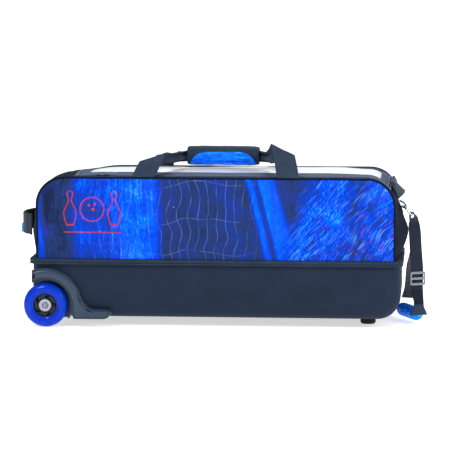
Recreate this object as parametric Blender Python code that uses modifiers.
"""Rolling bowling bag for three balls: tub on two wheels, soft upper, clear zipped lid.

X runs along the bag (wheels at -X, pull strap at +X), Y is its depth (front at -Y), Z is up.
All lengths are in metres. The origin is on the floor under the middle of the whole bag.
"""

import math

import bmesh
import bpy
from mathutils import Matrix, Vector

# ---------------------------------------------------------------- driving dimensions
GAP = 0.0003                # clearance between neighbouring solids
BODY_X = -0.011             # middle of the bag's body along X
FABRIC = 0.003              # padded fabric wall

TUB_HALF_X = 0.333
TUB_HALF_Y = 0.1215
TUB_BOTTOM = 0.016
TUB_TOP = 0.1137
TUB_WALL = 0.004
TUB_TURN = 0.042            # radius of the lower ends, seen from the front
TUB_ROUND = 0.030           # radius of the long edges and upright corners

BAND_HALF_X = 0.337
BAND_HALF_Y = 0.1275
BAND_INNER = 0.011
BAND_BOTTOM = 0.1140
BAND_TOP = 0.1240
BAND_CORNER = 0.022

UPPER_HALF_X = 0.322        # printed side panels, piping centre line
UPPER_BOTTOM = 0.1243
UPPER_TOP = 0.271
UPPER_CORNER = 0.050
PANEL_FACE_Y = 0.1255
PANEL_THICK = 0.004
PIPING_R = 0.0019
PIPING_Y = 0.1235
GUSSET_HALF_Y = PIPING_Y - PIPING_R - GAP

LID_START_X = -0.262        # left end of the lid
LID_END_S = 0.0415          # how far the lid runs past the start of the right corner arc
LID_HALF_Y = 0.1085
LID_BORDER = 0.014          # fabric border at both ends of the lid
LID_FRONT_BORDER = 0.031
LID_BACK_BORDER = 0.018
CHAIN = 0.0038              # width of one side of the zip chain
SLIDERS_X = -0.2150         # where the two zip sliders meet
SLIDER_APART = 0.0065
SLIDER_HEIGHT = 0.0034
END_CLEAR = 0.0026          # extra clearance where the lid wraps the corner
SEAM_GAP = 0.0014           # gap between strips that meet on a corner arc

WHEEL_X = -0.3175
WHEEL_R = 0.040
WHEEL_Y = 0.125             # middle plane of each wheel
TYRE_HALF = 0.012
HUB_R = 0.021
HUB_SLOT_R = 0.0169         # circle through the middles of the hub's slots
BEARING_R = 0.011
BEARING_WIDTH = 0.007
AXLE_R = 0.00395
WELL_R = 0.0462             # wheel arch, inner radius
WELL_WALL = 0.0028
WELL_BACK_Y = 0.1090        # outer side of the arch's inner wall
FENDER_R = 0.0672
FENDER_FACE_Y = 0.1350

BALL_R = 0.108              # 216 mm ball that a cup holds
BALL_PITCH = 0.2185
BALL_Z = 0.1385
CRADLE_ARCH_R = 0.0535      # the foam's clearance round the wheel arches
CRADLE_ARCH_Y = 0.0975
FOOT_X = 0.262
FOOT_Y = 0.036

GRIP_Z = 0.302
GRIP_HALF_X = 0.066
WEBBING = 0.0024
HANDLE_WIDTH = 0.038
HANDLE_AXIS_Y = 0.1290       # line where the carry straps bend, just outside the piping
HANDLE_AXIS_Z = 0.2745

RIGHT_HANDLE_UP = 0.0175     # middle of the right end handle, up the corner arc
RIGHT_HANDLE_WIDTH = 0.026

RING_CENTRE = Vector((0.3335, 0.0, 0.2035))
RING_DIR = Vector((0.66, 0.0, -0.7513)).normalized()
RING_WIRE = 0.0018
STRAP_PIVOT = RING_CENTRE + RING_DIR * 0.0105
PULL_GRIP_R = 0.0125

# ---------------------------------------------------------------- scene and helpers
for old in list(bpy.data.objects):
    bpy.data.objects.remove(old, do_unlink=True)

PARTS = bpy.data.collections.new("rolling_bowling_bag")
CUTTERS = bpy.data.collections.new("cutters")
bpy.context.scene.collection.children.link(PARTS)
bpy.context.scene.collection.children.link(CUTTERS)


def material(name, colour, roughness, metallic=0.0, alpha=1.0):
    """A Principled material with one colour, roughness and metallic value."""
    made = bpy.data.materials.new(name)
    made.use_nodes = True
    shader = made.node_tree.nodes["Principled BSDF"]
    shader.inputs["Base Color"].default_value = (*colour, 1.0)
    shader.inputs["Roughness"].default_value = roughness
    shader.inputs["Metallic"].default_value = metallic
    shader.inputs["Alpha"].default_value = alpha
    return made


BLACK_FABRIC = material("black_fabric", (0.018, 0.019, 0.022), 0.85)
PRINTED_FABRIC = material("printed_fabric", (0.01, 0.08, 0.62), 0.55)
WEBBING_BLACK = material("webbing", (0.03, 0.032, 0.038), 0.8)
CLEAR_VINYL = material("clear_vinyl", (0.9, 0.93, 0.95), 0.12, 0.0, 0.3)
FOAM = material("foam", (0.03, 0.03, 0.032), 0.95)
BLUE_TYRE = material("blue_polyurethane", (0.0, 0.06, 0.8), 0.25)
HUB_PLASTIC = material("hub_plastic", (0.012, 0.012, 0.014), 0.35)
HOUSING_PLASTIC = material("housing_plastic", (0.03, 0.034, 0.042), 0.45)
STEEL = material("steel", (0.55, 0.56, 0.58), 0.3, 1.0)
ZIP_PLASTIC = material("zip", (0.02, 0.02, 0.022), 0.5)
RUBBER = material("rubber", (0.02, 0.02, 0.02), 0.8)
BOARD = material("board", (0.1, 0.1, 0.1), 0.7)
GRIP_BLUE = material("grip_fabric", (0.01, 0.12, 0.7), 0.6)


def add_object(name, mesh, mat, collection=PARTS):
    """Links a mesh as one named object."""
    made = bpy.data.objects.new(name, mesh)
    collection.objects.link(made)
    if mat is not None:
        mesh.materials.clear()
        mesh.materials.append(mat)
    return made


def mesh_from(bm, name):
    """Turns a bmesh into a mesh with its faces pointing out."""
    bmesh.ops.recalc_face_normals(bm, faces=bm.faces)
    mesh = bpy.data.meshes.new(name)
    bm.to_mesh(mesh)
    bm.free()
    return mesh


def smooth(obj, angle=35.0):
    """Shades an object smooth with sharp edges above an angle."""
    obj.data.shade_smooth()
    obj.data.set_sharp_from_angle(angle=math.radians(angle))
    return obj


def hide_cutter(obj):
    """Marks an object as a cutter."""
    obj.hide_render = True
    obj.display_type = "WIRE"
    return obj


def cut(obj, cutter, operation="DIFFERENCE"):
    """Adds a Boolean with one cutter."""
    boolean = obj.modifiers.new("cut", "BOOLEAN")
    boolean.operation = operation
    boolean.object = cutter
    boolean.solver = "EXACT"
    return obj


def bake(obj):
    """Applies an object's modifiers to its own mesh and returns the object."""
    depsgraph = bpy.context.evaluated_depsgraph_get()
    mesh = bpy.data.meshes.new_from_object(obj.evaluated_get(depsgraph))
    mats = [slot.material for slot in obj.material_slots]
    obj.modifiers.clear()
    obj.data = mesh
    mesh.materials.clear()
    for mat in mats:
        mesh.materials.append(mat)
    return obj


def triangulated(obj):
    """Welds what a Boolean left a hair apart and splits its faces into triangles."""
    bm = bmesh.new()
    bm.from_mesh(obj.data)
    bmesh.ops.remove_doubles(bm, verts=bm.verts, dist=0.000002)
    bmesh.ops.dissolve_degenerate(bm, edges=bm.edges, dist=0.000002)
    bmesh.ops.triangulate(bm, faces=bm.faces, ngon_method="EAR_CLIP")
    bm.to_mesh(obj.data)
    bm.free()
    return obj


def solidify(obj, thickness, offset=-1.0):
    """Gives an open surface a wall."""
    wall = obj.modifiers.new("wall", "SOLIDIFY")
    wall.thickness = thickness
    wall.offset = offset
    return obj


def bevel(obj, width, segments=2, angle=40.0):
    """Rounds an object's sharp edges."""
    rounding = obj.modifiers.new("rounding", "BEVEL")
    rounding.width = width
    rounding.segments = segments
    rounding.limit_method = "ANGLE"
    rounding.angle_limit = math.radians(angle)
    return obj


def grid_sheet(name, rows, mat, keep=None):
    """An open sheet through rows of points; keep(i, j) can leave cells out."""
    across = len(rows)
    along = len(rows[0])
    bm = bmesh.new()
    bmesh.ops.create_grid(bm, x_segments=across - 1, y_segments=along - 1, size=1.0)
    cells = {}
    for vert in bm.verts:
        i = round((vert.co.x + 1.0) * 0.5 * (across - 1))
        j = round((vert.co.y + 1.0) * 0.5 * (along - 1))
        cells[vert] = (i, j)
        vert.co = rows[i][j]
    if keep is not None:
        drop = []
        for face in bm.faces:
            low_i = min(cells[vert][0] for vert in face.verts)
            low_j = min(cells[vert][1] for vert in face.verts)
            if not keep(low_i, low_j):
                drop.append(face)
        bmesh.ops.delete(bm, geom=drop, context="FACES")
    mesh = bpy.data.meshes.new(name)
    bm.to_mesh(mesh)
    bm.free()
    return add_object(name, mesh, mat)


def tube(name, points, radius, mat, sides=2, cyclic=False):
    """A round bar along points, as a welded mesh."""
    curve = bpy.data.curves.new(name, "CURVE")
    curve.dimensions = "3D"
    curve.bevel_depth = radius
    curve.bevel_resolution = sides
    curve.use_fill_caps = not cyclic
    spline = curve.splines.new("POLY")
    spline.points.add(len(points) - 1)
    for spot, point in zip(spline.points, points):
        spot.co = (*point, 1.0)
    spline.use_cyclic_u = cyclic
    return curve_to_mesh(name, curve, mat)


def curve_to_mesh(name, curve, mat, matrix=None):
    """Turns a curve into a mesh object whose caps are welded on."""
    holder = bpy.data.objects.new(name + "_curve", curve)
    CUTTERS.objects.link(holder)
    if matrix is not None:
        holder.matrix_world = matrix
    bpy.context.view_layer.update()
    depsgraph = bpy.context.evaluated_depsgraph_get()
    mesh = bpy.data.meshes.new_from_object(holder.evaluated_get(depsgraph))
    bm = bmesh.new()
    bm.from_mesh(mesh)
    bmesh.ops.remove_doubles(bm, verts=bm.verts, dist=0.00001)
    bmesh.ops.recalc_face_normals(bm, faces=bm.faces)
    bm.to_mesh(mesh)
    bm.free()
    made = add_object(name, mesh, mat)
    made.matrix_world = holder.matrix_world.copy()
    bpy.data.objects.remove(holder, do_unlink=True)
    return made


def plate(name, loops, thickness, mat, matrix):
    """A flat outline with holes, extruded to both sides of its plane."""
    curve = bpy.data.curves.new(name, "CURVE")
    curve.dimensions = "2D"
    curve.fill_mode = "BOTH"
    curve.extrude = thickness / 2.0
    for loop in loops:
        spline = curve.splines.new("POLY")
        spline.points.add(len(loop) - 1)
        for spot, (u, v) in zip(spline.points, loop):
            spot.co = (u, v, 0.0, 1.0)
        spline.use_cyclic_u = True
    return curve_to_mesh(name, curve, mat, matrix)


def facing_y(y):
    """Places a plate's u, v plane on world X, Z at depth y."""
    return Matrix.Translation((0.0, y, 0.0)) @ Matrix.Rotation(math.pi / 2.0, 4, "X")


def turned(name, profile, mat, steps=32):
    """A profile of (radius, height) points turned about Z, radii running top to bottom."""
    bm = bmesh.new()
    verts = [bm.verts.new((r, 0.0, h)) for r, h in profile]
    for one, two in zip(verts, verts[1:]):
        bm.edges.new((one, two))
    if profile[0] != profile[-1] and profile[0][0] > 0.0:
        bm.edges.new((verts[-1], verts[0]))
    mesh = bpy.data.meshes.new(name)
    bm.to_mesh(mesh)
    bm.free()
    made = add_object(name, mesh, mat)
    screw = made.modifiers.new("turn", "SCREW")
    screw.axis = "Z"
    screw.steps = steps
    screw.render_steps = steps
    screw.use_merge_vertices = True
    screw.merge_threshold = 0.00001
    return made


def box(name, low, high, mat, collection=PARTS):
    """A plain block between two corners."""
    bm = bmesh.new()
    bmesh.ops.create_cube(bm, size=1.0)
    low = Vector(low)
    high = Vector(high)
    middle = (low + high) / 2.0
    size = high - low
    for vert in bm.verts:
        vert.co = Vector((vert.co.x * size.x, vert.co.y * size.y, vert.co.z * size.z)) + middle
    return add_object(name, mesh_from(bm, name), mat, collection)


def cylinder_cutter(name, centre, radius, depth, steps=40):
    """A cutter cylinder along Y."""
    bm = bmesh.new()
    bmesh.ops.create_cone(bm, cap_ends=True, segments=steps, radius1=radius, radius2=radius, depth=depth)
    made = add_object(name, mesh_from(bm, name), None, CUTTERS)
    made.rotation_euler = (math.pi / 2.0, 0.0, 0.0)
    made.location = centre
    return hide_cutter(made)


def arc(centre_u, centre_v, radius, start, end, count):
    """Points on an arc, angles in degrees."""
    points = []
    for step in range(count + 1):
        angle = math.radians(start + (end - start) * step / count)
        points.append((centre_u + radius * math.cos(angle), centre_v + radius * math.sin(angle)))
    return points


def rounded_rect(half_u, half_v, radius, centre_u=0.0, count=5):
    """A rectangle with round corners, counter-clockwise."""
    u = half_u - radius
    v = half_v - radius
    points = []
    for sign_u, sign_v, start in ((1, 1, 0), (-1, 1, 90), (-1, -1, 180), (1, -1, 270)):
        points += arc(centre_u + sign_u * u, sign_v * v, radius, start, start + 90, count)
    return points


def smooth_path(points, steps=4):
    """Catmull-Rom points through a list of vectors of any size."""
    out = []
    count = len(points)
    for k in range(count - 1):
        before = points[max(k - 1, 0)]
        start = points[k]
        end = points[k + 1]
        after = points[min(k + 2, count - 1)]
        for step in range(steps):
            t = step / steps
            out.append(0.5 * ((2.0 * start) + (end - before) * t
                              + (2.0 * before - 5.0 * start + 4.0 * end - after) * t * t
                              + (3.0 * start - before - 3.0 * end + after) * t * t * t))
    out.append(points[-1].copy())
    return out


def ribbon(name, stations, mat, thickness=WEBBING, steps=3, closed=False):
    """Webbing through stations of (centre, width direction, width)."""
    centres = [Vector(station[0]) for station in stations]
    sides = [Vector(station[1]).normalized() * station[2] / 2.0 for station in stations]
    centres = smooth_path(centres, steps)
    sides = smooth_path(sides, steps)
    rows = [[centre - side, centre, centre + side] for centre, side in zip(centres, sides)]
    made = grid_sheet(name, rows, mat)
    if closed:
        bm = bmesh.new()
        bm.from_mesh(made.data)
        bmesh.ops.remove_doubles(bm, verts=bm.verts, dist=0.00001)
        bm.to_mesh(made.data)
        bm.free()
    return solidify(made, thickness, 0.0)


# ---------------------------------------------------------------- tub and inside
def tub_form(name, half_x, half_y, low, high, turn, rounding, mat, open_top):
    """A rounded tray: turn rounds its lower ends, rounding its long sides; open_top leaves a sheet."""
    bm = bmesh.new()
    bmesh.ops.create_cube(bm, size=1.0)
    for vert in bm.verts:
        vert.co.x = BODY_X + vert.co.x * 2.0 * half_x
        vert.co.y = vert.co.y * 2.0 * half_y
        vert.co.z = low + (vert.co.z + 0.5) * (high - low)
    ends = []
    for one in bm.edges:
        level = max(vert.co.z for vert in one.verts) < low + 0.0001
        if level and abs(one.verts[0].co.y - one.verts[1].co.y) > half_y:
            ends.append(one)
    bmesh.ops.bevel(bm, geom=ends, offset=turn, segments=5, profile=0.5, affect="EDGES")
    sides = []
    for one in bm.edges:
        along_side = abs(one.verts[0].co.y - one.verts[1].co.y) < 0.0001
        if along_side and min(vert.co.z for vert in one.verts) < high - 0.0001:
            sides.append(one)
    bmesh.ops.bevel(bm, geom=sides, offset=rounding, segments=4, profile=0.5, affect="EDGES")
    if open_top:
        top = []
        for face in bm.faces:
            if min(vert.co.z for vert in face.verts) > high - 0.0001:
                top.append(face)
        bmesh.ops.delete(bm, geom=top, context="FACES")
    bmesh.ops.recalc_face_normals(bm, faces=bm.faces)
    mesh = bpy.data.meshes.new(name)
    bm.to_mesh(mesh)
    bm.free()
    return add_object(name, mesh, mat)


def wheel_clearances(radius, depth_from):
    """Cutters for both wheel arches, out past the side of the bag."""
    cutters = []
    far = 0.16
    for side, label in ((-1, "front"), (1, "back")):
        centre = (WHEEL_X, side * (depth_from + far) / 2.0, WHEEL_R)
        name = "arch_cut_%s_%d" % (label, round(radius * 10000))
        cutters.append(cylinder_cutter(name, centre, radius, far - depth_from))
    return cutters


def build_tub():
    """Moulded tub, open on top, with a wheel arch cut into each left corner."""
    tub = tub_form("base_tub", TUB_HALF_X, TUB_HALF_Y, TUB_BOTTOM, TUB_TOP,
                   TUB_TURN, TUB_ROUND, BLACK_FABRIC, True)
    solidify(tub, TUB_WALL)
    for cutter in wheel_clearances(WELL_R + WELL_WALL + GAP, WELL_BACK_Y - 0.0031 - GAP):
        cut(tub, cutter)
    bake(tub)
    smooth(tub)


def build_board():
    """Stiffener board on the floor of the tub."""
    outline = rounded_rect(0.285, 0.088, 0.02, BODY_X, 3)
    middle = TUB_BOTTOM + TUB_WALL + GAP + 0.00125
    plate("bottom_board", [outline], 0.0025, BOARD, Matrix.Translation((0.0, 0.0, middle)))


def build_cradle():
    """Foam block with one spherical cup for each ball."""
    low = TUB_BOTTOM + TUB_WALL + 0.0025 + 3 * GAP
    cradle = tub_form("foam_cradle", TUB_HALF_X - 0.0075, TUB_HALF_Y - 0.0075, low, 0.068,
                      TUB_TURN - 0.005, TUB_ROUND - 0.004, FOAM, False)
    for cutter in wheel_clearances(CRADLE_ARCH_R, CRADLE_ARCH_Y):
        cut(cradle, cutter)
    for index in (-1, 0, 1):
        bm = bmesh.new()
        bmesh.ops.create_uvsphere(bm, u_segments=24, v_segments=16, radius=BALL_R + 0.001)
        ball = add_object("ball_cut_%d" % (index + 1), mesh_from(bm, "ball_cut"), None, CUTTERS)
        ball.location = (BODY_X + index * BALL_PITCH, 0.0, BALL_Z)
        cut(cradle, hide_cutter(ball))
    bake(cradle)
    smooth(cradle)


def build_band():
    """Binding all round the waist, between tub and upper."""
    outer = rounded_rect(BAND_HALF_X, BAND_HALF_Y, BAND_CORNER, BODY_X, 5)
    inner = rounded_rect(BAND_HALF_X - BAND_INNER, BAND_HALF_Y - BAND_INNER,
                         BAND_CORNER - 0.010, BODY_X, 5)
    middle = (BAND_BOTTOM + BAND_TOP) / 2.0
    band = plate("waist_binding", [outer, inner], BAND_TOP - BAND_BOTTOM, WEBBING_BLACK,
                 Matrix.Translation((0.0, 0.0, middle)))
    bevel(band, 0.0015, 1, 60.0)
    smooth(band)


def build_feet():
    """Two round feet under the right end, glued on."""
    for side, label in ((-1, "front"), (1, "back")):
        place = (FOOT_X, side * FOOT_Y, 0.0)
        foot = turned("foot_" + label, [(0.0, TUB_BOTTOM - GAP), (0.014, TUB_BOTTOM - GAP),
                                        (0.014, 0.003), (0.012, 0.0), (0.0, 0.0)], RUBBER, 20)
        foot.location = place
        smooth(foot)


# ---------------------------------------------------------------- soft upper
def outline_at(s):
    """Point and outward normal on the side panels' outline, s metres from its lower left end."""
    rise = UPPER_TOP - UPPER_CORNER - UPPER_BOTTOM
    quarter = UPPER_CORNER * math.pi / 2.0
    top = 2.0 * (UPPER_HALF_X - UPPER_CORNER)
    left = BODY_X - UPPER_HALF_X
    right = BODY_X + UPPER_HALF_X
    centre_z = UPPER_TOP - UPPER_CORNER
    if s <= rise:
        return Vector((left, 0.0, UPPER_BOTTOM + s)), Vector((-1.0, 0.0, 0.0))
    if s <= rise + quarter:
        angle = math.pi - (s - rise) / UPPER_CORNER
        centre = Vector((left + UPPER_CORNER, 0.0, centre_z))
    elif s <= rise + quarter + top:
        along = left + UPPER_CORNER + s - rise - quarter
        return Vector((along, 0.0, UPPER_TOP)), Vector((0.0, 0.0, 1.0))
    elif s <= rise + 2.0 * quarter + top:
        angle = math.pi / 2.0 - (s - rise - quarter - top) / UPPER_CORNER
        centre = Vector((right - UPPER_CORNER, 0.0, centre_z))
    else:
        down = s - rise - 2.0 * quarter - top
        return Vector((right, 0.0, centre_z - down)), Vector((1.0, 0.0, 0.0))
    normal = Vector((math.cos(angle), 0.0, math.sin(angle)))
    return centre + normal * UPPER_CORNER, normal


RISE = UPPER_TOP - UPPER_CORNER - UPPER_BOTTOM
QUARTER = UPPER_CORNER * math.pi / 2.0
TOP_RUN = 2.0 * (UPPER_HALF_X - UPPER_CORNER)
S_END = 2.0 * (RISE + QUARTER) + TOP_RUN
S_LID_LOW = RISE + QUARTER + LID_START_X - (BODY_X - UPPER_HALF_X + UPPER_CORNER)
S_LID_HIGH = RISE + QUARTER + TOP_RUN + LID_END_S
# how far the strip between the side panels bulges, by distance from the lower end
BULGE = ((0.0, 0.010), (0.042, 0.0215), (0.075, 0.0125), (RISE, 0.0045),
         (RISE + 0.04, 0.001), (RISE + QUARTER, 0.006), (RISE + QUARTER + 0.06, 0.009))


def bulge_at(s):
    """Height of the bulge on the bag's middle plane."""
    s = min(s, S_END - s)
    for (s0, b0), (s1, b1) in zip(BULGE, BULGE[1:]):
        if s <= s1:
            t = (s - s0) / (s1 - s0)
            t = t * t * (3.0 - 2.0 * t)
            return b0 + (b1 - b0) * t
    return BULGE[-1][1]


def strip_point(s, y, lift=0.0):
    """A point on the strip between the side panels."""
    point, normal = outline_at(s)
    share = 1.0 - (y / GUSSET_HALF_Y) ** 2
    place = point + normal * (bulge_at(s) * share + lift)
    place.y = y
    return place


def between(start, end, count):
    """Evenly spaced numbers, both ends included."""
    return [start + (end - start) * step / count for step in range(count + 1)]


def strip_sheet(name, s_values, y_values, mat, thickness=FABRIC, lift=0.0, keep=None):
    """A wall of fabric on the strip surface."""
    rows = [[strip_point(s, y, lift) for y in y_values] for s in s_values]
    made = grid_sheet(name, rows, mat, keep)
    solidify(made, thickness)
    return smooth(made, 50.0)


def s_stations(low, high):
    """Stations along the strip, closer together on the corner arcs."""
    stops = {low, high}
    for s in between(0.0, RISE, 5):
        stops.add(s)
        stops.add(S_END - s)
    for s in between(RISE, RISE + QUARTER, 5):
        stops.add(s)
        stops.add(S_END - s)
    for s in between(RISE + QUARTER, S_END - RISE - QUARTER, 8):
        stops.add(s)
    ordered = sorted(s for s in stops if low <= s <= high)
    kept = [ordered[0]]
    for s in ordered[1:]:
        if s - kept[-1] > 0.004 or s == high:
            kept.append(s)
    if len(kept) > 2 and kept[-1] - kept[-2] < 0.004:
        kept.pop(-2)
    return kept


def build_panels():
    """Printed front and back panels, with piping round each."""
    inset = PIPING_R + GAP
    left = BODY_X - UPPER_HALF_X
    right = BODY_X + UPPER_HALF_X
    centre_z = UPPER_TOP - UPPER_CORNER
    radius = UPPER_CORNER - inset
    outline = [(left + inset, UPPER_BOTTOM)]
    outline += arc(left + UPPER_CORNER, centre_z, radius, 180, 90, 8)
    outline += arc(right - UPPER_CORNER, centre_z, radius, 90, 0, 8)
    outline.append((right - inset, UPPER_BOTTOM))
    route = [Vector((left, 0.0, UPPER_BOTTOM + PIPING_R))]
    corners = arc(left + UPPER_CORNER, centre_z, UPPER_CORNER, 180, 90, 10)
    corners += arc(right - UPPER_CORNER, centre_z, UPPER_CORNER, 90, 0, 10)
    route += [Vector((u, 0.0, v)) for u, v in corners]
    route.append(Vector((right, 0.0, UPPER_BOTTOM + PIPING_R)))
    for side, label in ((-1, "front"), (1, "back")):
        middle = side * (PANEL_FACE_Y - PANEL_THICK / 2.0)
        panel = plate(label + "_panel", [outline], PANEL_THICK, PRINTED_FABRIC, facing_y(middle))
        smooth(panel)
        points = [point + Vector((0.0, side * PIPING_Y, 0.0)) for point in route]
        smooth(tube(label + "_piping", points, PIPING_R, BLACK_FABRIC, 1))


def build_gussets():
    """End panels over the corners, and the strips in front of and behind the lid."""
    across = between(-GUSSET_HALF_Y, GUSSET_HALF_Y, 8)
    margin = CHAIN + 2 * GAP
    strip_sheet("end_panel_left", s_stations(0.0, S_LID_LOW - margin), across, BLACK_FABRIC)
    strip_sheet("end_panel_right", s_stations(S_LID_HIGH + margin + END_CLEAR, S_END), across, BLACK_FABRIC)
    low = S_LID_LOW - margin + GAP
    high = S_LID_HIGH + margin + END_CLEAR - SEAM_GAP
    along = s_stations(low, high)
    front = between(-GUSSET_HALF_Y, -LID_HALF_Y - margin, 2)
    back = between(LID_HALF_Y + GAP, GUSSET_HALF_Y, 2)
    strip_sheet("top_gusset_front", along, front, BLACK_FABRIC)
    strip_sheet("top_gusset_back", along, back, BLACK_FABRIC)


def ring_of_cells(s_count, y_count, open_back):
    """Keeps only the cells on the rim of a grid; open_back leaves out the back row."""
    def keep(i, j):
        on_side = i in (0, s_count - 1) or j == 0
        on_back = j == y_count - 1 and not open_back
        return on_side or on_back
    return keep


def framed(low, high, rim, stations):
    """Grid lines for a frame: its rims and evenly placed lines between them."""
    inner = [s for s in stations if low + rim + 0.004 < s < high - rim - 0.004]
    return [low, low + rim] + inner + [high - rim, high]


def build_lid():
    """Clear window in a fabric frame, with its side of the zip chain."""
    low = S_LID_LOW + CHAIN + GAP
    high = S_LID_HIGH - CHAIN - GAP
    front = -LID_HALF_Y + CHAIN + GAP
    back = LID_HALF_Y - GAP
    s_lines = framed(low, high, LID_BORDER, s_stations(low, high))
    y_lines = [front, front + LID_FRONT_BORDER]
    y_lines += between(-0.04, 0.04, 3)
    y_lines += [back - LID_BACK_BORDER, back]
    rim = ring_of_cells(len(s_lines) - 1, len(y_lines) - 1, False)
    strip_sheet("lid_border", s_lines, y_lines, BLACK_FABRIC, 0.0022, 0.0, rim)
    s_window = s_stations(low + LID_BORDER + GAP, high - LID_BORDER - GAP)
    y_window = between(front + LID_FRONT_BORDER + GAP, back - LID_BACK_BORDER - GAP, 6)
    strip_sheet("clear_window", s_window, y_window, CLEAR_VINYL, 0.0012, 0.0)


def build_zip():
    """Two halves of the zip chain, round the front and both ends of the lid."""
    body_low = S_LID_LOW - CHAIN - GAP / 2
    body_high = S_LID_HIGH + CHAIN + END_CLEAR + GAP / 2
    body_front = -LID_HALF_Y - CHAIN - GAP / 2
    s_lines = framed(body_low, body_high, CHAIN, s_stations(body_low, body_high))
    y_lines = [body_front, body_front + CHAIN, -0.06, -0.02, 0.02, 0.06, LID_HALF_Y]
    rim = ring_of_cells(len(s_lines) - 1, len(y_lines) - 1, True)
    strip_sheet("zip_chain_body", s_lines, y_lines, ZIP_PLASTIC, 0.002, 0.0004, rim)
    low = S_LID_LOW + GAP / 2
    high = S_LID_HIGH - GAP / 2
    front = -LID_HALF_Y + GAP / 2
    s_lines = framed(low, high, CHAIN - GAP / 2, s_stations(low, high))
    y_lines = [front, front + CHAIN - GAP / 2, -0.06, -0.02, 0.02, 0.06, LID_HALF_Y - GAP]
    rim = ring_of_cells(len(s_lines) - 1, len(y_lines) - 1, True)
    strip_sheet("zip_chain_lid", s_lines, y_lines, ZIP_PLASTIC, 0.002, 0.0004, rim)


def build_sliders():
    """Two zip sliders on the front run of the chain, each with a pull tab."""
    y = -LID_HALF_Y - CHAIN / 2 - GAP / 2
    z = strip_point(S_LID_LOW + 0.04, y).z + 0.0014
    for side, label in ((-1, "left"), (1, "right")):
        x = SLIDERS_X + side * SLIDER_APART
        slider = box("zip_slider_" + label, (x - 0.0055, y - 0.0034, z),
                     (x + 0.0055, y + 0.0015, z + SLIDER_HEIGHT), STEEL)
        bevel(slider, 0.0007, 2)
        smooth(slider)
        lift = z + SLIDER_HEIGHT + GAP
        start = x - side * 0.003
        outline = rounded_rect(0.0125, 0.0022, 0.0018, start + side * 0.0125, 3)
        tab = plate("zip_pull_" + label, [outline], 0.0012, STEEL,
                    Matrix.Translation((0.0, y - 0.001, lift + 0.0006)))
        smooth(tab)


# ---------------------------------------------------------------- carry handle
LEFT_LEG = (((-0.1400, -HANDLE_AXIS_Y, HANDLE_AXIS_Z), (1.0, 0.0, 0.0), 0.038),
            ((-0.1380, -0.1215, 0.2900), (1.0, 0.0, 0.04), 0.038),
            ((-0.1310, -0.1085, 0.3045), (0.97, 0.0, 0.16), 0.038),
            ((-0.1150, -0.0700, 0.3130), (0.84, -0.25, 0.05), 0.036),
            ((-0.0990, -0.0260, 0.3090), (0.35, -0.55, -0.55), 0.030),
            ((-0.0890, -0.0060, 0.3035), (0.05, -0.20, -0.90), 0.024))
RIGHT_LEG = (((0.1190, -HANDLE_AXIS_Y, HANDLE_AXIS_Z), (1.0, 0.0, 0.0), 0.038),
             ((0.1180, -0.1215, 0.2905), (1.0, 0.0, -0.05), 0.038),
             ((0.1140, -0.1095, 0.3075), (0.96, 0.0, -0.18), 0.038),
             ((0.1000, -0.0700, 0.3180), (0.84, 0.25, -0.25), 0.036),
             ((0.0790, -0.0260, 0.3110), (0.35, 0.55, -0.60), 0.030),
             ((0.0670, -0.0060, 0.3035), (0.05, 0.20, -0.90), 0.024))


def strap_stations(side, narrow):
    """Stations of one handle strap from its left foot to its right foot."""
    run = [((BODY_X - GRIP_HALF_X - 0.003, -0.0032, GRIP_Z), (0.0, 0.0, -1.0), 0.0225),
           ((BODY_X, -0.0032, GRIP_Z), (0.0, 0.0, -1.0), 0.0225),
           ((BODY_X + GRIP_HALF_X + 0.003, -0.0032, GRIP_Z), (0.0, 0.0, -1.0), 0.0225)]
    stations = list(LEFT_LEG) + run + list(reversed(RIGHT_LEG))
    out = []
    for centre, way, width in stations:
        reach = min(1.0, abs(centre[0] - BODY_X) / 0.13)
        shift = -narrow * reach * (1.0 if centre[0] > BODY_X else -1.0)
        place = (centre[0] + shift, -side * centre[1], centre[2])
        out.append((place, (way[0], -side * way[1], way[2]), width))
    return out


def build_handles():
    """Two webbing straps that meet in a padded grip."""
    for side, label, narrow in ((-1, "front", 0.0), (1, "back", 0.012)):
        strap = ribbon("handle_strap_" + label, strap_stations(side, narrow), WEBBING_BLACK)
        smooth(strap, 50.0)


def half_tube(name, half_x, start, end, ry, rz, thickness, mat, count=10):
    """A shell round the grip's axis between two angles; 180 degrees faces the front."""
    rows = []
    for x in (BODY_X - half_x, BODY_X + half_x):
        row = []
        for step in range(count + 1):
            angle = math.radians(start + (end - start) * step / count)
            row.append(Vector((x, ry * math.cos(angle), GRIP_Z + rz * math.sin(angle))))
        rows.append(row)
    made = grid_sheet(name, rows, mat)
    solidify(made, thickness, 1.0)
    return smooth(made, 50.0)


def build_grip():
    """Padded sleeve round the two straps: its pad, printed inlay and closing flap."""
    half_tube("grip_pad", GRIP_HALF_X, 93, 267, 0.0205, 0.0172, 0.0042, WEBBING_BLACK)
    half_tube("grip_flap", GRIP_HALF_X, -87, 87, 0.0205, 0.0172, 0.0042, WEBBING_BLACK)
    half_tube("grip_inlay", GRIP_HALF_X - 0.009, 128, 262, 0.0219, 0.0186, 0.0011, GRIP_BLUE)


# ---------------------------------------------------------------- end handles and pull strap
ARCH_SHAPE = ((-1.0, 0.0), (-0.86, 0.10), (-0.62, 0.62), (-0.30, 0.95), (0.0, 1.0),
              (0.30, 0.95), (0.62, 0.62), (0.86, 0.10), (1.0, 0.0))


def end_arch(name, centre, outward, width_dir, half_span, stand, width, mat):
    """A grab loop across the end of the bag, bowed outward."""
    outward = Vector(outward).normalized()
    stations = []
    for along, out in ARCH_SHAPE:
        place = Vector(centre) + Vector((0.0, along * half_span, 0.0)) + outward * (out * stand)
        stations.append((place, width_dir, width))
    made = ribbon(name, stations, mat, 0.003, 2)
    return smooth(made, 60.0)


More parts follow.
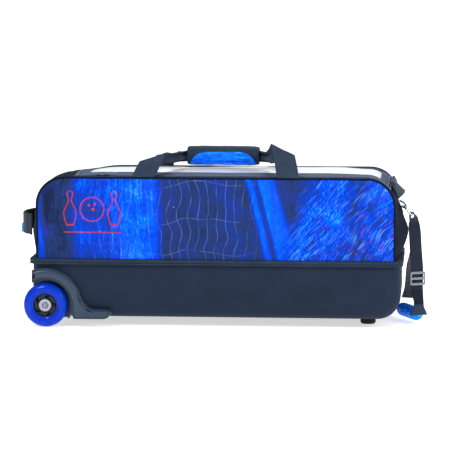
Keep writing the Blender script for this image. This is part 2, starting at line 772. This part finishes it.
def build_end_handles():
    """Webbing grab handles on both ends."""
    left = BODY_X - UPPER_HALF_X - 0.0175
    end_arch("end_handle_left", (left, 0.0, 0.175), (-1.0, 0.0, 0.0), (0.0, 0.0, 1.0),
             0.070, 0.0180, 0.038, WEBBING_BLACK)
    corner, normal = outline_at(S_END - RISE - RIGHT_HANDLE_UP)
    tangent = Vector((normal.z, 0.0, -normal.x))
    stations = []
    for along, out in ARCH_SHAPE:
        place = corner + normal * (0.0056 + 0.0050 * out) + Vector((0.0, along * 0.066, 0.0))
        lean = tangent.lerp(Vector((0.75, 0.0, -0.66)), out)
        stations.append((place, lean, RIGHT_HANDLE_WIDTH))
    smooth(ribbon("end_handle_right", stations, WEBBING_BLACK, 0.003, 2), 60.0)


def rod_ring(name, centre, along, half_y, half_v, radius, mat):
    """A rounded rectangular ring of round wire in the plane of Y and a direction."""
    points = []
    for u, v in rounded_rect(half_y, half_v, 0.006, 0.0, 3):
        points.append(Vector(centre) + Vector((0.0, u, 0.0)) + along * v)
    made = tube(name, points, radius, mat, 1, True)
    return smooth(made, 60.0)


def build_ring():
    """Webbing tab on the end panel and the ring it holds."""
    surface, normal = outline_at(S_END - RISE - 0.0005)
    upper = RING_CENTRE - RING_DIR * 0.0105
    foot = surface + normal * 0.0062
    reach = 0.0030
    down = RING_DIR
    side = Vector((-down.z, 0.0, down.x))
    loop = [foot, upper + side * reach - down * 0.006, upper + side * reach]
    for step in range(1, 5):
        angle = math.pi * step / 4.0
        loop.append(upper + side * (reach * math.cos(angle)) + down * (reach * math.sin(angle)))
    loop.append(upper - side * reach - down * 0.004)
    stations = [(place, (0.0, 1.0, 0.0), 0.022) for place in loop]
    tab = ribbon("ring_tab", stations, WEBBING_BLACK, 0.0016, 2)
    smooth(tab, 60.0)
    rod_ring("d_ring", RING_CENTRE, RING_DIR, 0.0165, 0.0105, RING_WIRE, STEEL)


FACE = Vector((0.92, 0.39, 0.0)).normalized()       # width direction of the pull strap
SPREAD = Vector((-FACE.y, FACE.x, 0.0))             # from the strap's near run to its far run
GRIP_MIDDLE = Vector((0.3374, -0.0060, 0.0185))     # padded bar at the strap's foot
GRIP_HALF = 0.040


def build_pull_strap():
    """A long loop of webbing over the ring, with an adjuster and a padded grip at its foot."""
    top = STRAP_PIVOT
    near = [(top + Vector((0.0052, 0.0, -0.0060)), (0.30, 1.0, 0.0), 0.022),
            ((0.3470, -0.0020, 0.1750), (0.55, 0.85, 0.0), 0.022),
            ((0.3490, -0.0070, 0.1500), (0.80, 0.6, 0.0), 0.022),
            ((0.3505, -0.0100, 0.1250), FACE, 0.022),
            ((0.3505, -0.0100, 0.0950), FACE, 0.022),
            ((0.3505, -0.0100, 0.0640), FACE, 0.022),
            ((0.3520, -0.0220, 0.0500), FACE, 0.021),
            ((0.3540, -0.0350, 0.0380), FACE, 0.019)]
    over = []
    for step in range(5):
        angle = math.pi * step / 4.0
        place = top + Vector((0.0040 * math.cos(angle), 0.0, 0.0040 * math.sin(angle)))
        over.append((place, (0.0, 1.0, 0.0), 0.022))
    far = [(top + Vector((-0.0036, 0.0, -0.0060)), (0.1, 1.0, 0.0), 0.022),
           ((0.3392, 0.0060, 0.1720), (0.1, 1.0, 0.0), 0.022),
           ((0.3385, 0.0160, 0.1300), (0.1, 1.0, 0.0), 0.022),
           ((0.3345, 0.0260, 0.1000), (0.3, 0.9, 0.0), 0.022),
           ((0.3340, 0.0330, 0.0600), (0.6, 0.8, 0.0), 0.022),
           ((0.3320, 0.0330, 0.0380), FACE, 0.022)]
    stations = list(reversed(near)) + over + far
    strap = ribbon("pull_strap", stations, WEBBING_BLACK, 0.0018, 3)
    smooth(strap, 60.0)


def build_pull_grip():
    """Padded bar at the foot of the pull strap, with its black cover."""
    half = GRIP_HALF
    bm = bmesh.new()
    bmesh.ops.create_cone(bm, cap_ends=True, segments=16, radius1=PULL_GRIP_R, radius2=PULL_GRIP_R,
                          depth=2.0 * half)
    mesh = mesh_from(bm, "pull_grip")
    grip = add_object("pull_grip", mesh, GRIP_BLUE)
    grip.matrix_world = (Matrix.Translation(GRIP_MIDDLE)
                         @ SPREAD.to_track_quat("Z", "X").to_matrix().to_4x4())
    bevel(grip, 0.004, 2)
    smooth(grip, 50.0)


def build_grip_sleeve():
    """Flared end of the strap, sewn over the near end of the padded bar."""
    end = GRIP_MIDDLE - SPREAD * (GRIP_HALF + 0.0022)
    stations = []
    for level, width in ((0.0350, 0.018), (0.0300, 0.023), (0.0240, 0.029), (0.0170, 0.034)):
        stations.append((Vector((end.x, end.y, level)), FACE, width))
    smooth(ribbon("pull_grip_sleeve", stations, WEBBING_BLACK, 0.0022, 2), 60.0)


def build_adjuster():
    """Three-bar slide on the near run of the pull strap."""
    outline = rounded_rect(0.0150, 0.0125, 0.003, 0.0, 3)
    slot = []
    for shift in (-0.0052, 0.0052):
        slot.append([(u, v + shift) for u, v in rounded_rect(0.0118, 0.0030, 0.0010, 0.0, 2)])
    normal = FACE.cross(Vector((0.0, 0.0, 1.0))).normalized()
    place = Vector((0.3505, -0.0100, 0.0800)) + normal * 0.0030
    matrix = Matrix.Identity(4)
    up = Vector((0.0, 0.0, 1.0))
    for row in range(3):
        matrix[row][0] = FACE[row]
        matrix[row][1] = up[row]
        matrix[row][2] = normal[row]
        matrix[row][3] = place[row]
    adjuster = plate("strap_adjuster", [outline] + slot, 0.0018, STEEL, matrix)
    smooth(adjuster)


# ---------------------------------------------------------------- wheels
def to_side(obj, side, depth):
    """Stands a part turned about Z on the wheel's axis, its top facing out."""
    obj.rotation_euler = (math.pi / 2.0 if side < 0 else -math.pi / 2.0, 0.0, 0.0)
    obj.location = (WHEEL_X, side * depth, WHEEL_R)
    return obj


def tyre_profile():
    """Rounded tyre section, radii top to bottom of the wheel's width."""
    section = [(HUB_R + GAP, TYRE_HALF - 0.003), (0.0275, TYRE_HALF - 0.0008)]
    for step in range(7):
        angle = math.radians(78.0 - 156.0 * step / 6.0)
        section.append((0.0290 + 0.0110 * math.cos(angle), (TYRE_HALF - 0.0002) * math.sin(angle)))
    section += [(0.0275, -TYRE_HALF + 0.0008), (HUB_R + GAP, -TYRE_HALF + 0.003)]
    return section


def build_hub(side, label):
    """Hub with a bearing seat on each side, a thin middle wall and five slots."""
    seat = BEARING_R + GAP
    face = TYRE_HALF - 0.0026
    lip = face - BEARING_WIDTH
    profile = [(seat, face), (seat + 0.0024, face), (0.0150, face - 0.0022), (0.0188, face - 0.0022),
               (0.0200, face), (HUB_R, face), (HUB_R, -face), (0.0200, -face),
               (0.0188, -face + 0.0022), (0.0150, -face + 0.0022), (seat + 0.0024, -face), (seat, -face),
               (seat, -lip), (0.0088, -lip), (0.0088, lip), (seat, lip)]
    hub = turned("hub_" + label, profile, HUB_PLASTIC, 24)
    to_side(hub, side, WHEEL_Y)
    for index in range(5):
        angle = math.radians(75.0 + 72.0 * index)
        centre = Vector((WHEEL_X + HUB_SLOT_R * math.cos(angle), side * WHEEL_Y,
                         WHEEL_R + HUB_SLOT_R * math.sin(angle)))
        bm = bmesh.new()
        bmesh.ops.create_cube(bm, size=1.0)
        for vert in bm.verts:
            vert.co = Vector((vert.co.x * 0.0026, vert.co.y * 0.04, vert.co.z * 0.0105))
        slot = add_object("slot_%s_%d" % (label, index), mesh_from(bm, "slot"), None, CUTTERS)
        slot.rotation_euler = (0.0, -angle - math.radians(28.0), 0.0)
        slot.location = centre
        cut(hub, hide_cutter(slot))
    bake(hub)
    smooth(hub)


def build_bearing(name, side, depth):
    """Ball bearing: both races and the shield between them as one turned ring."""
    half = BEARING_WIDTH / 2.0 - GAP / 2.0
    bore = AXLE_R + 0.00013
    profile = [(bore, half), (0.0060, half), (0.0064, half - 0.0005), (0.0092, half - 0.0005),
               (0.0094, half), (BEARING_R, half), (BEARING_R, -half), (bore, -half)]
    smooth(to_side(turned(name, profile, STEEL, 20), side, depth))


def build_axle(side, label):
    """Bolt through the wheel into the arch's inner wall, with its spacer, washer and nut."""
    shank_end = WELL_BACK_Y - 0.0105
    head = 0.0062
    outer = WHEEL_Y + TYRE_HALF - 0.0026
    profile = [(0.0, outer + 0.0042), (0.0030, outer + 0.0038), (0.0052, outer + 0.0024),
               (head, outer + GAP), (AXLE_R, outer + GAP), (AXLE_R, shank_end), (0.0, shank_end)]
    bolt = turned("axle_bolt_" + label, profile, STEEL, 24)
    bolt.rotation_euler = (math.pi / 2.0 if side < 0 else -math.pi / 2.0, 0.0, 0.0)
    bolt.location = (WHEEL_X, 0.0, WHEEL_R)
    smooth(bolt)
    lip = TYRE_HALF - 0.0026 - BEARING_WIDTH
    spacer = turned("bearing_spacer_" + label, [(AXLE_R + 0.00013, lip), (0.0058, lip), (0.0058, -lip),
                                                (AXLE_R + 0.00013, -lip)], STEEL, 20)
    to_side(spacer, side, WHEEL_Y)
    back = WHEEL_Y - TYRE_HALF + 0.0026
    boss_low = WELL_BACK_Y + GAP
    boss = turned("axle_spacer_" + label, [(AXLE_R + 0.00013, back - GAP), (0.0060, back - GAP),
                                           (0.0060, boss_low), (AXLE_R + 0.00013, boss_low)], STEEL, 20)
    boss.rotation_euler = bolt.rotation_euler
    boss.location = bolt.location
    nut_outer = WELL_BACK_Y - 0.0028 - GAP
    hexagon = arc(WHEEL_X, WHEEL_R, 0.0075, 0, 300, 5)
    bore = arc(WHEEL_X, WHEEL_R, AXLE_R + 0.0002, 0, 345, 23)
    thick = 0.0062
    nut = plate("axle_nut_" + label, [hexagon, bore], thick, STEEL,
                facing_y(side * (nut_outer - thick / 2.0)))
    smooth(nut)


def fender_outline():
    """Fender over the wheel that runs down into a skid, seen from the front."""
    cx = WHEEL_X
    cz = WHEEL_R
    inner = WELL_R
    outer = FENDER_R
    start = math.degrees(math.acos((-0.0205) / outer))
    points = [(cx - 0.0205, cz + math.sqrt(inner * inner - 0.0205 ** 2) + 0.0012)]
    points += arc(cx, cz, outer, start, 12, 14)
    points += [(cx + 0.0745, cz - 0.0005), (cx + 0.0860, cz - 0.0065), (cx + 0.1150, cz - 0.0072),
               (cx + 0.1205, cz - 0.0115), (cx + 0.1175, cz - 0.0180), (cx + 0.1080, cz - 0.0250),
               (cx + 0.0505, cz - 0.0250), (cx + 0.0475, cz - 0.0050)]
    points += arc(cx, cz, inner, 0, 90, 10)
    points.append((cx - 0.012, cz + inner - 0.0004))
    return points


def build_housing(side, label):
    """Moulded corner: fender with skid, wheel arch and the wall that carries the axle."""
    inside = TUB_HALF_Y + GAP
    middle = (FENDER_FACE_Y + inside) / 2.0
    housing = plate("wheel_housing_" + label, [fender_outline()], FENDER_FACE_Y - inside,
                    HOUSING_PLASTIC, facing_y(side * middle))
    back = WELL_BACK_Y - 0.0028
    face = inside + 0.004
    bore = AXLE_R + GAP
    floor = back + WELL_WALL
    profile = [(WELL_R + WELL_WALL, face), (WELL_R + WELL_WALL, back), (bore, back),
               (bore, floor), (WELL_R + GAP, floor), (WELL_R + GAP, face)]
    cup = turned("arch_" + label, profile, HOUSING_PLASTIC, 40)
    cup.rotation_euler = (math.pi / 2.0 if side < 0 else -math.pi / 2.0, 0.0, 0.0)
    cup.location = (WHEEL_X, 0.0, WHEEL_R)
    trims = (((-0.5, -0.2, -0.1), (BODY_X - TUB_HALF_X + 0.0015, 0.2, 0.2)),
             ((-0.5, -0.2, -0.1), (0.0, 0.2, 0.0154)))
    for index, (low, high) in enumerate(trims):
        trimmer = box("trim_%s_%d" % (label, index), low, high, None, CUTTERS)
        cut(cup, hide_cutter(trimmer))
    bpy.context.view_layer.update()
    bake(cup)
    cup_mesh = cup.data.copy()
    tool = add_object("arch_tool_" + label, cup_mesh, None, CUTTERS)
    tool.matrix_world = cup.matrix_world.copy()
    bpy.data.objects.remove(cup, do_unlink=True)
    cut(housing, hide_cutter(tool), "UNION")
    smooth(triangulated(bake(housing)))


def build_wheels():
    """Both wheels with their housings."""
    for side, label in ((-1, "front"), (1, "back")):
        smooth(to_side(turned("tyre_" + label, tyre_profile(), BLUE_TYRE, 36), side, WHEEL_Y))
        build_hub(side, label)
        seat = TYRE_HALF - 0.0026 - BEARING_WIDTH / 2.0
        build_bearing("bearing_outer_" + label, side, WHEEL_Y + seat)
        build_bearing("bearing_inner_" + label, side, WHEEL_Y - seat)
        build_axle(side, label)
        build_housing(side, label)


def build():
    """Makes the whole bag."""
    build_tub()
    build_board()
    build_cradle()
    build_band()
    build_feet()
    build_panels()
    build_gussets()
    build_lid()
    build_zip()
    build_sliders()
    build_handles()
    build_grip()
    build_end_handles()
    build_ring()
    build_pull_strap()
    build_pull_grip()
    build_grip_sleeve()
    build_adjuster()
    build_wheels()


build()
